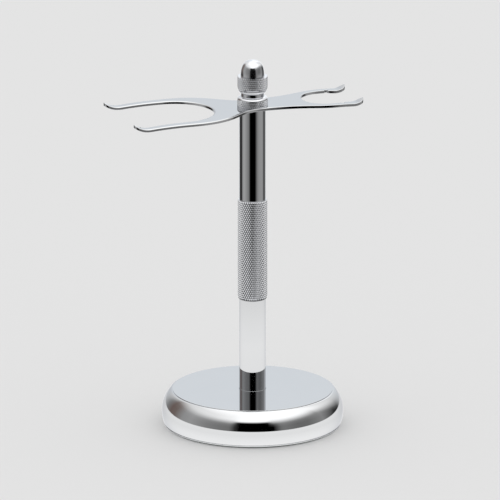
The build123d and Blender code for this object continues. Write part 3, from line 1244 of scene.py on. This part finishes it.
@dataclass
class TopClamp:
    """What holds the plate: a stud, a nylon washer, a knurled collar and the domed cap nut.

    The bell sizes shape the collar's shoulder, the heel sizes the curve from the cap nut's
    foot to its knurl, and the nose sizes its dome.
    """

    bore: float = 3.05 * MM
    break_edge: float = 0.12 * MM
    collar_band: float = 2.6 * MM
    neck: float = 5.3 * MM
    neck_height: float = 1.5 * MM
    cone: float = 2.1 * MM
    band: float = 5.7 * MM
    roll: float = 0.8 * MM
    foot: float = 5.3 * MM
    dome: float = 5.45 * MM
    bore_depth: float = 8.4 * MM
    band_edge: float = 0.05 * MM
    step_in: float = 0.1 * MM
    bell_in: float = 0.25 * MM
    bell_rise: float = 0.95 * MM
    bell_out: float = 0.5 * MM
    bell_drop: float = 0.15 * MM
    bell_steps: int = 16
    roll_drops: Sequence[float] = (0.55 * MM, 0.12 * MM)
    heel_out: float = 0.5 * MM
    heel_rise: float = 0.2 * MM
    heel_in: float = 0.22 * MM
    heel_top: float = 0.5 * MM
    heel_steps: int = 8
    tuck_in: float = 0.03 * MM
    tuck_down: float = 0.06 * MM
    foot_land: float = 0.2 * MM
    foot_bevel: float = 0.08 * MM
    ledge_in: float = 0.15 * MM
    ledge_gap: float = 0.12 * MM
    nose_in: float = 0.05 * MM
    nose_rise: float = 0.62
    nose_width: float = 0.76
    nose_steps: int = 30
    stud_chamfer: float = 0.4 * MM
    stud_steps: int = 40

    def collar(self) -> bmesh.types.BMesh:
        """Turns the collar: knurled band, bell-shaped shoulder, short neck.

        Returns:
            The collar's mesh.
        """
        low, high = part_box("clamp_collar")
        radius = high.x
        band_top = low.z + self.collar_band
        edge = self.band_edge
        knurl = Knurl(radius, low.z + edge, band_top - edge, (edge,), (edge,))
        neck_z = high.z - self.neck_height
        shoulder = bezier(
            Corner(radius - self.step_in, band_top),
            Corner(radius - self.bell_in, band_top + self.bell_rise),
            Corner(self.neck + self.bell_out, neck_z - self.bell_drop),
            Corner(self.neck, neck_z),
            self.bell_steps,
        )
        neck = [
            Corner(self.neck, neck_z),
            Corner(self.neck, high.z, self.break_edge),
            Corner(self.bore, high.z),
        ]
        outline = [
            at(self.bore, low.z),
            at(radius - self.step_in * 2.0, low.z),
            at(radius - self.step_in, low.z),
            *knurl.outline(),
            *shoulder,
            *rounded(neck)[1:],
        ]
        mesh = turn(outline, True, knurl.steps)
        knurl.cut(mesh)
        return mesh

    def cap(self) -> bmesh.types.BMesh:
        """Turns the cap nut: foot, knurled band, ledge and bullet-shaped top, bored from below.

        Returns:
            The cap nut's mesh.
        """
        low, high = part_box("cap_nut")
        radius = high.x
        band_bottom = low.z + self.cone
        band_top = band_bottom + self.band
        edge = self.band_edge
        knurl = Knurl(radius, band_bottom - self.roll, band_top - edge, self.roll_drops, (edge,))
        nose = bezier(
            Corner(self.dome, band_top),
            Corner(self.dome - self.nose_in, band_top + self.nose_rise * (high.z - band_top)),
            Corner(self.nose_width * self.dome, high.z),
            Corner(0.0, high.z),
            self.nose_steps,
        )
        last = knurl.row_radius(0)
        heel = bezier(
            Corner(self.foot, low.z + self.break_edge),
            Corner(self.foot + self.heel_out, low.z + self.heel_rise),
            Corner(last - self.heel_in, low.z + self.heel_top),
            Corner(last - self.tuck_in, knurl.bottom - self.tuck_down),
            self.heel_steps,
        )
        outline = [
            at(0.0, low.z + self.bore_depth),
            at(self.bore, low.z + self.bore_depth),
            at(self.bore, low.z),
            at(self.foot - self.foot_land, low.z),
            at(self.foot - self.foot_bevel, low.z),
            *heel,
            *knurl.outline(),
            at(radius - self.ledge_in, band_top),
            at(self.dome + self.ledge_gap, band_top),
            *nose,
        ]
        mesh = turn(outline, False, knurl.steps)
        knurl.cut(mesh)
        return mesh

    def stud(self) -> bmesh.types.BMesh:
        """Turns the top stud and cuts its thread.

        Returns:
            The stud's mesh.
        """
        low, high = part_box("top_stud")
        thread = Thread()
        chamfer = self.stud_chamfer
        mesh = turn(thread.outline(low.z, high.z, chamfer), False, self.stud_steps)
        thread.cut(mesh, low.z + chamfer, high.z - chamfer)
        return mesh

    def build(self) -> None:
        """Builds and dresses the clamp."""
        finish_piece("threaded_stud", self.stud(), ZINC, Body.STAND, "top_stud")
        finish_piece("knurled_collar", self.collar(), KNURL, Body.COLLAR, "clamp_collar")
        finish_piece("domed_cap_nut", self.cap(), KNURL, Body.CAP, "cap_nut")
        dress_node("swivel_washer", NYLON)


# ------------------------------------------------------------------ the studio


BACK_TONE = (0.78, 0.81, 0.835)


@dataclass
class Studio:
    """Pale floor, even soft light, and the dark and light surroundings that a polish needs.

    Bearings are in degrees round the object: 0 on the camera's side, positive to the camera's
    right, and 180 or -180 behind. Rises are degrees above eye level.
    """

    azimuth: float = -20.14
    elevation: float = 15.97
    distance: float = 6.0
    lens: float = 954.7
    aim_height: float = 76.9 * MM
    aim_up: float = 4.89 * MM
    aim_right: float = -1.14 * MM
    floor_tone: float = 0.775
    sweep_radius: float = 0.26
    floor_radius: float = 30.0
    softbox_edge: float = 33.0
    right_turn: float = 95.0
    right_fall: float = 0.55
    left_turn: float = 128.0
    left_fall: float = 1.1
    gain: float = 1.33
    ring_sides: int = 96

    # Tones of the dark cards below eye level and above it, and of the softbox, by bearing.
    low_tones: Tones = (
        (-180.0, BACK_TONE), (-160.0, (0.72, 0.74, 0.76)), (-148.0, 0.34), (-141.0, 0.09),
        (-130.0, 0.015), (-118.0, 0.010), (-110.0, 0.03), (-103.0, 0.10), (-94.0, 0.27),
        (-80.0, 0.34), (-60.0, 0.28), (-45.0, 0.22), (-31.0, 0.16), (-25.0, 0.05), (-20.0, 0.0),
        (22.0, 0.0), (27.0, 0.02), (31.0, 0.06), (37.0, 0.13), (48.0, 0.22), (62.0, 0.27),
        (92.0, 0.28), (104.0, 0.21), (112.0, 0.06), (122.0, 0.04), (134.0, 0.12), (143.0, 0.32),
        (155.0, 0.68), (180.0, BACK_TONE),
    )
    high_tones: Tones = (
        (-180.0, BACK_TONE), (-165.0, (0.68, 0.70, 0.72)), (-152.0, 0.42), (-140.0, 0.20),
        (-128.0, (0.14, 0.105, 0.095)), (-117.0, (0.15, 0.12, 0.11)), (-100.0, 0.26),
        (-86.0, 0.29), (-60.0, 0.20), (-42.0, 0.165), (-30.0, 0.15), (-23.0, 0.03), (-17.0, 0.0),
        (27.0, 0.0), (32.0, 0.07), (37.0, 0.15), (42.0, 0.165), (60.0, 0.13), (75.0, 0.135),
        (100.0, 0.22), (110.0, 0.14), (118.0, 0.08), (126.0, 0.01), (139.0, 0.004),
        (145.0, 0.15), (152.0, 0.38), (165.0, (0.74, 0.77, 0.79)), (180.0, BACK_TONE),
    )
    box_tones: Tones = (
        (-180.0, BACK_TONE), (-165.0, (0.62, 0.64, 0.67)), (-150.0, 0.66), (-118.0, 0.72),
        (-60.0, 0.80), (-35.0, 0.90), (-15.0, 1.06), (60.0, 1.08), (100.0, 1.0), (118.0, 0.80),
        (140.0, 0.68), (165.0, (0.80, 0.83, 0.85)), (180.0, BACK_TONE),
    )
    ceiling_tone: Colour = (1.08, 1.08, 1.08)

    # The softbox's lower edge: blurred all round, and crisper towards the camera.
    edge_spread: float = 40.0
    soft_edge: Tones = (
        (0.0, 0.0), (0.2, 0.04), (0.3, 0.12), (0.4, 0.33), (0.5, 0.55), (0.6, 0.80), (0.7, 0.95),
        (0.8, 1.0),
    )
    crisp_edge: Tones = ((0.40, 0.0), (0.48, 0.35), (0.54, 0.80), (0.62, 1.0))

    # Bearings and rises, in degrees, between which one thing gives way to another.
    front_ends: tuple[float, float] = (20.0, 28.0)
    back_starts: tuple[float, float] = (140.0, 160.0)
    high_starts: tuple[float, float] = (-12.0, -2.0)
    ceiling_starts: tuple[float, float] = (48.0, 68.0)
    back_ceiling: tuple[float, float] = (17.0, 38.0)
    left_ceiling_lift: float = 17.0

    # Tones of the lit sheet under the object, by distance in millimetres.
    sheet_tones: Tones = (
        (0.0, 0.84), (43.0, 0.84), (50.0, 0.79), (60.0, 0.75), (90.0, 0.76), (134.0, 0.775),
        (167.0, 0.745), (209.0, 0.68), (256.0, 0.52),
    )

    def eye(self) -> Vector:
        """Finds the way from the object to the camera.

        Returns:
            A unit vector.
        """
        turned = math.radians(self.azimuth)
        raised = math.radians(self.elevation)
        level = math.cos(raised)
        return Vector((math.sin(turned) * level, -math.cos(turned) * level, math.sin(raised)))

    def camera(self) -> None:
        """Adds the camera and makes it the scene's own."""
        eye = self.eye()
        turning = eye.to_track_quat("Z", "Y").to_matrix().to_4x4()
        right = turning.col[0].to_3d()
        up = turning.col[1].to_3d()
        aim = Vector((0.0, 0.0, self.aim_height)) + right * self.aim_right + up * self.aim_up
        data = bpy.data.cameras.new("camera")
        data.lens = self.lens
        data.clip_end = 50.0
        camera = bpy.data.objects.new("camera", data)
        camera.matrix_world = Matrix.Translation(aim + eye * self.distance) @ turning
        bpy.context.scene.collection.objects.link(camera)
        bpy.context.scene.camera = camera

    def sheet(self, name: str, inner: float, outer: float) -> bpy.types.Object:
        """Lays a flat ring, or a disc where it has no inner radius, on the plane of the floor.

        Args:
            name: Its name.
            inner: Radius of its hole.
            outer: Its own radius.

        Returns:
            The object.
        """
        mesh = bmesh.new()
        whole = inner == 0.0
        bmesh.ops.create_circle(mesh, cap_ends=whole, segments=self.ring_sides, radius=outer)
        if not whole:
            made = bmesh.ops.extrude_edge_only(mesh, edges=mesh.edges[:])
            verts = [item for item in made["geom"] if isinstance(item, bmesh.types.BMVert)]
            bmesh.ops.scale(mesh, vec=(inner / outer, inner / outer, 1.0), verts=verts)
            bmesh.ops.recalc_face_normals(mesh, faces=mesh.faces)
        data = bpy.data.meshes.new(name)
        mesh.to_mesh(data)
        mesh.free()
        sheet = bpy.data.objects.new(name, data)
        bpy.context.scene.collection.objects.link(sheet)
        return sheet

    def floor(self) -> None:
        """Adds the floor, in two pieces that the polish doesn't mirror."""
        material = bpy.data.materials.new("pale_floor")
        graph = Graph(material)
        grain = graph.noise(graph.place(), scale=900.0, detail=2.0)
        low, high = ((self.floor_tone * share,) * 3 for share in (0.99, 1.01))
        varying = {"Base Color": graph.mix(grain, low, high)}
        graph.surface({"Roughness": 1.0, "Specular IOR Level": 0.0}, varying)
        for name, inner, outer in (
            ("floor_sweep", 0.0, self.sweep_radius),
            ("floor_beyond", self.sweep_radius, self.floor_radius),
        ):
            floor = self.sheet(name, inner, outer)
            floor.visible_glossy = False
            floor.data.materials.append(material)

    def bounce(self) -> None:
        """Adds the lit sheet under the object that only polished metal mirrors."""
        sheet = self.sheet("bounce", 0.0, self.sweep_radius)
        for ray in ("camera", "diffuse", "shadow", "transmission", "volume_scatter"):
            setattr(sheet, f"visible_{ray}", False)
        material = bpy.data.materials.new("bounce")
        graph = Graph(material)
        spot = graph.add("ShaderNodeTexCoord", output="Object")
        away = graph.add("ShaderNodeVectorMath", {"operation": "LENGTH"}, {0: spot}, "Value")
        stops = [(reach * MM / self.sweep_radius, tone) for reach, tone in self.sheet_tones]
        tone = graph.ramp(away / self.sweep_radius, stops)
        glow = graph.add("ShaderNodeEmission", None, {"Color": tone, "Strength": self.gain})
        graph.add("ShaderNodeOutputMaterial", None, {"Surface": glow})
        sheet.data.materials.append(material)

    def bearing(self, graph: Graph, where: Wire) -> Wire:
        """Turns a direction into its bearing round the object.

        Args:
            graph: The world's nodes.
            where: The direction.

        Returns:
            The bearing from 0 to 1: 0.5 towards the camera, 0 and 1 away from it.
        """
        settings = {"rotation_type": "Z_AXIS"}
        inputs = {"Vector": where, "Angle": -math.radians(self.azimuth)}
        turned = graph.add("ShaderNodeVectorRotate", settings, inputs)
        x, y = (graph.add("ShaderNodeSeparateXYZ", None, {0: turned}, axis) for axis in "XY")
        return x.math("ARCTAN2", x, y * -1.0) / math.tau + 0.5

    @staticmethod
    def round_ramp(graph: Graph, bearing: Wire, tones: Tones) -> Wire:
        """Returns a ramp over the bearing from stops in degrees."""
        return graph.ramp(bearing, [(0.5 + turned / 360.0, tone) for turned, tone in tones])

    @staticmethod
    def fade(graph: Graph, angle: Wire, span: float, ends: tuple[float, float]) -> Wire:
        """Returns a share that grows from 0 to 1 between two angles of a span, all in degrees."""
        return graph.ramp(angle / span, ((ends[0] / span, 0.0), (ends[1] / span, 1.0)))

    def box_share(self, graph: Graph, rise: Wire, turned: Wire, left: Wire) -> Wire:
        """Finds how far the softbox covers the cards; its lower edge hangs lower to the sides.

        Args:
            graph: The world's nodes.
            rise: Degrees above eye level.
            turned: Degrees from the camera's side, either way.
            left: 1 on the camera's left, 0 on its right.

        Returns:
            The softbox's share, from 0 to 1.
        """
        turn_from = left * (self.left_turn - self.right_turn) + self.right_turn
        fall = left * (self.left_fall - self.right_fall) + self.right_fall
        edge = self.softbox_edge - (turned - turn_from).larger(0.0) * fall
        above = (rise - edge) / self.edge_spread + 0.5
        soft = graph.ramp(above, self.soft_edge)
        crisp = graph.ramp(above, self.crisp_edge)
        return graph.mix(self.fade(graph, turned, 180.0, self.front_ends), crisp, soft)

    def world(self) -> None:
        """Lights the scene evenly, and surrounds it with what the polish mirrors."""
        world = bpy.data.worlds.new("studio")
        bpy.context.scene.world = world
        graph = Graph(world)
        where = graph.add("ShaderNodeTexCoord", output="Generated")
        bearing = self.bearing(graph, where)
        height = graph.add("ShaderNodeSeparateXYZ", None, {0: where}, "Z")
        rise = height.math("ARCSINE", height) * math.degrees(1.0)
        offset = (bearing - 0.5) * 360.0
        turned = offset.math("ABSOLUTE", offset)
        left = 1.0 - bearing.above(0.5)
        low = self.round_ramp(graph, bearing, self.low_tones)
        high = self.round_ramp(graph, bearing, self.high_tones)
        start, end = self.high_starts
        cards = graph.mix((rise - start) / (end - start), low, high)
        box = self.round_ramp(graph, bearing, self.box_tones)
        aloft = self.fade(graph, rise, 90.0, self.ceiling_starts)
        behind = self.fade(graph, turned, 180.0, self.back_starts)
        lift = left * self.left_ceiling_lift
        lifted = self.fade(graph, rise - lift, 90.0, self.back_ceiling) * behind
        box = graph.mix(aloft.larger(lifted), box, self.ceiling_tone)
        around = graph.mix(self.box_share(graph, rise, turned, left), cards, box)
        mirrored = graph.add("ShaderNodeLightPath", output="Is Glossy Ray")
        seen = graph.add("ShaderNodeLightPath", output="Is Camera Ray")
        even = graph.mix(seen, (1.0 / self.gain,) * 3, (self.floor_tone / self.gain,) * 3)
        inputs = {"Color": graph.mix(mirrored, even, around), "Strength": self.gain}
        back = graph.add("ShaderNodeBackground", None, inputs)
        graph.add("ShaderNodeOutputWorld", None, {"Surface": back})

    def build(self) -> None:
        """Sets the stage."""
        bpy.context.scene.view_settings.view_transform = "Standard"
        self.world()
        self.floor()
        self.bounce()
        self.camera()
        LOG.info("studio set")


def main() -> None:
    """Builds the stand and its studio."""
    logging.basicConfig(level=logging.INFO, format="%(name)s: %(message)s")
    for part in (Studio(), Base(), Column(), ForkPlate(), TopClamp()):
        part.build()


if __name__ == "__main__":
    main()
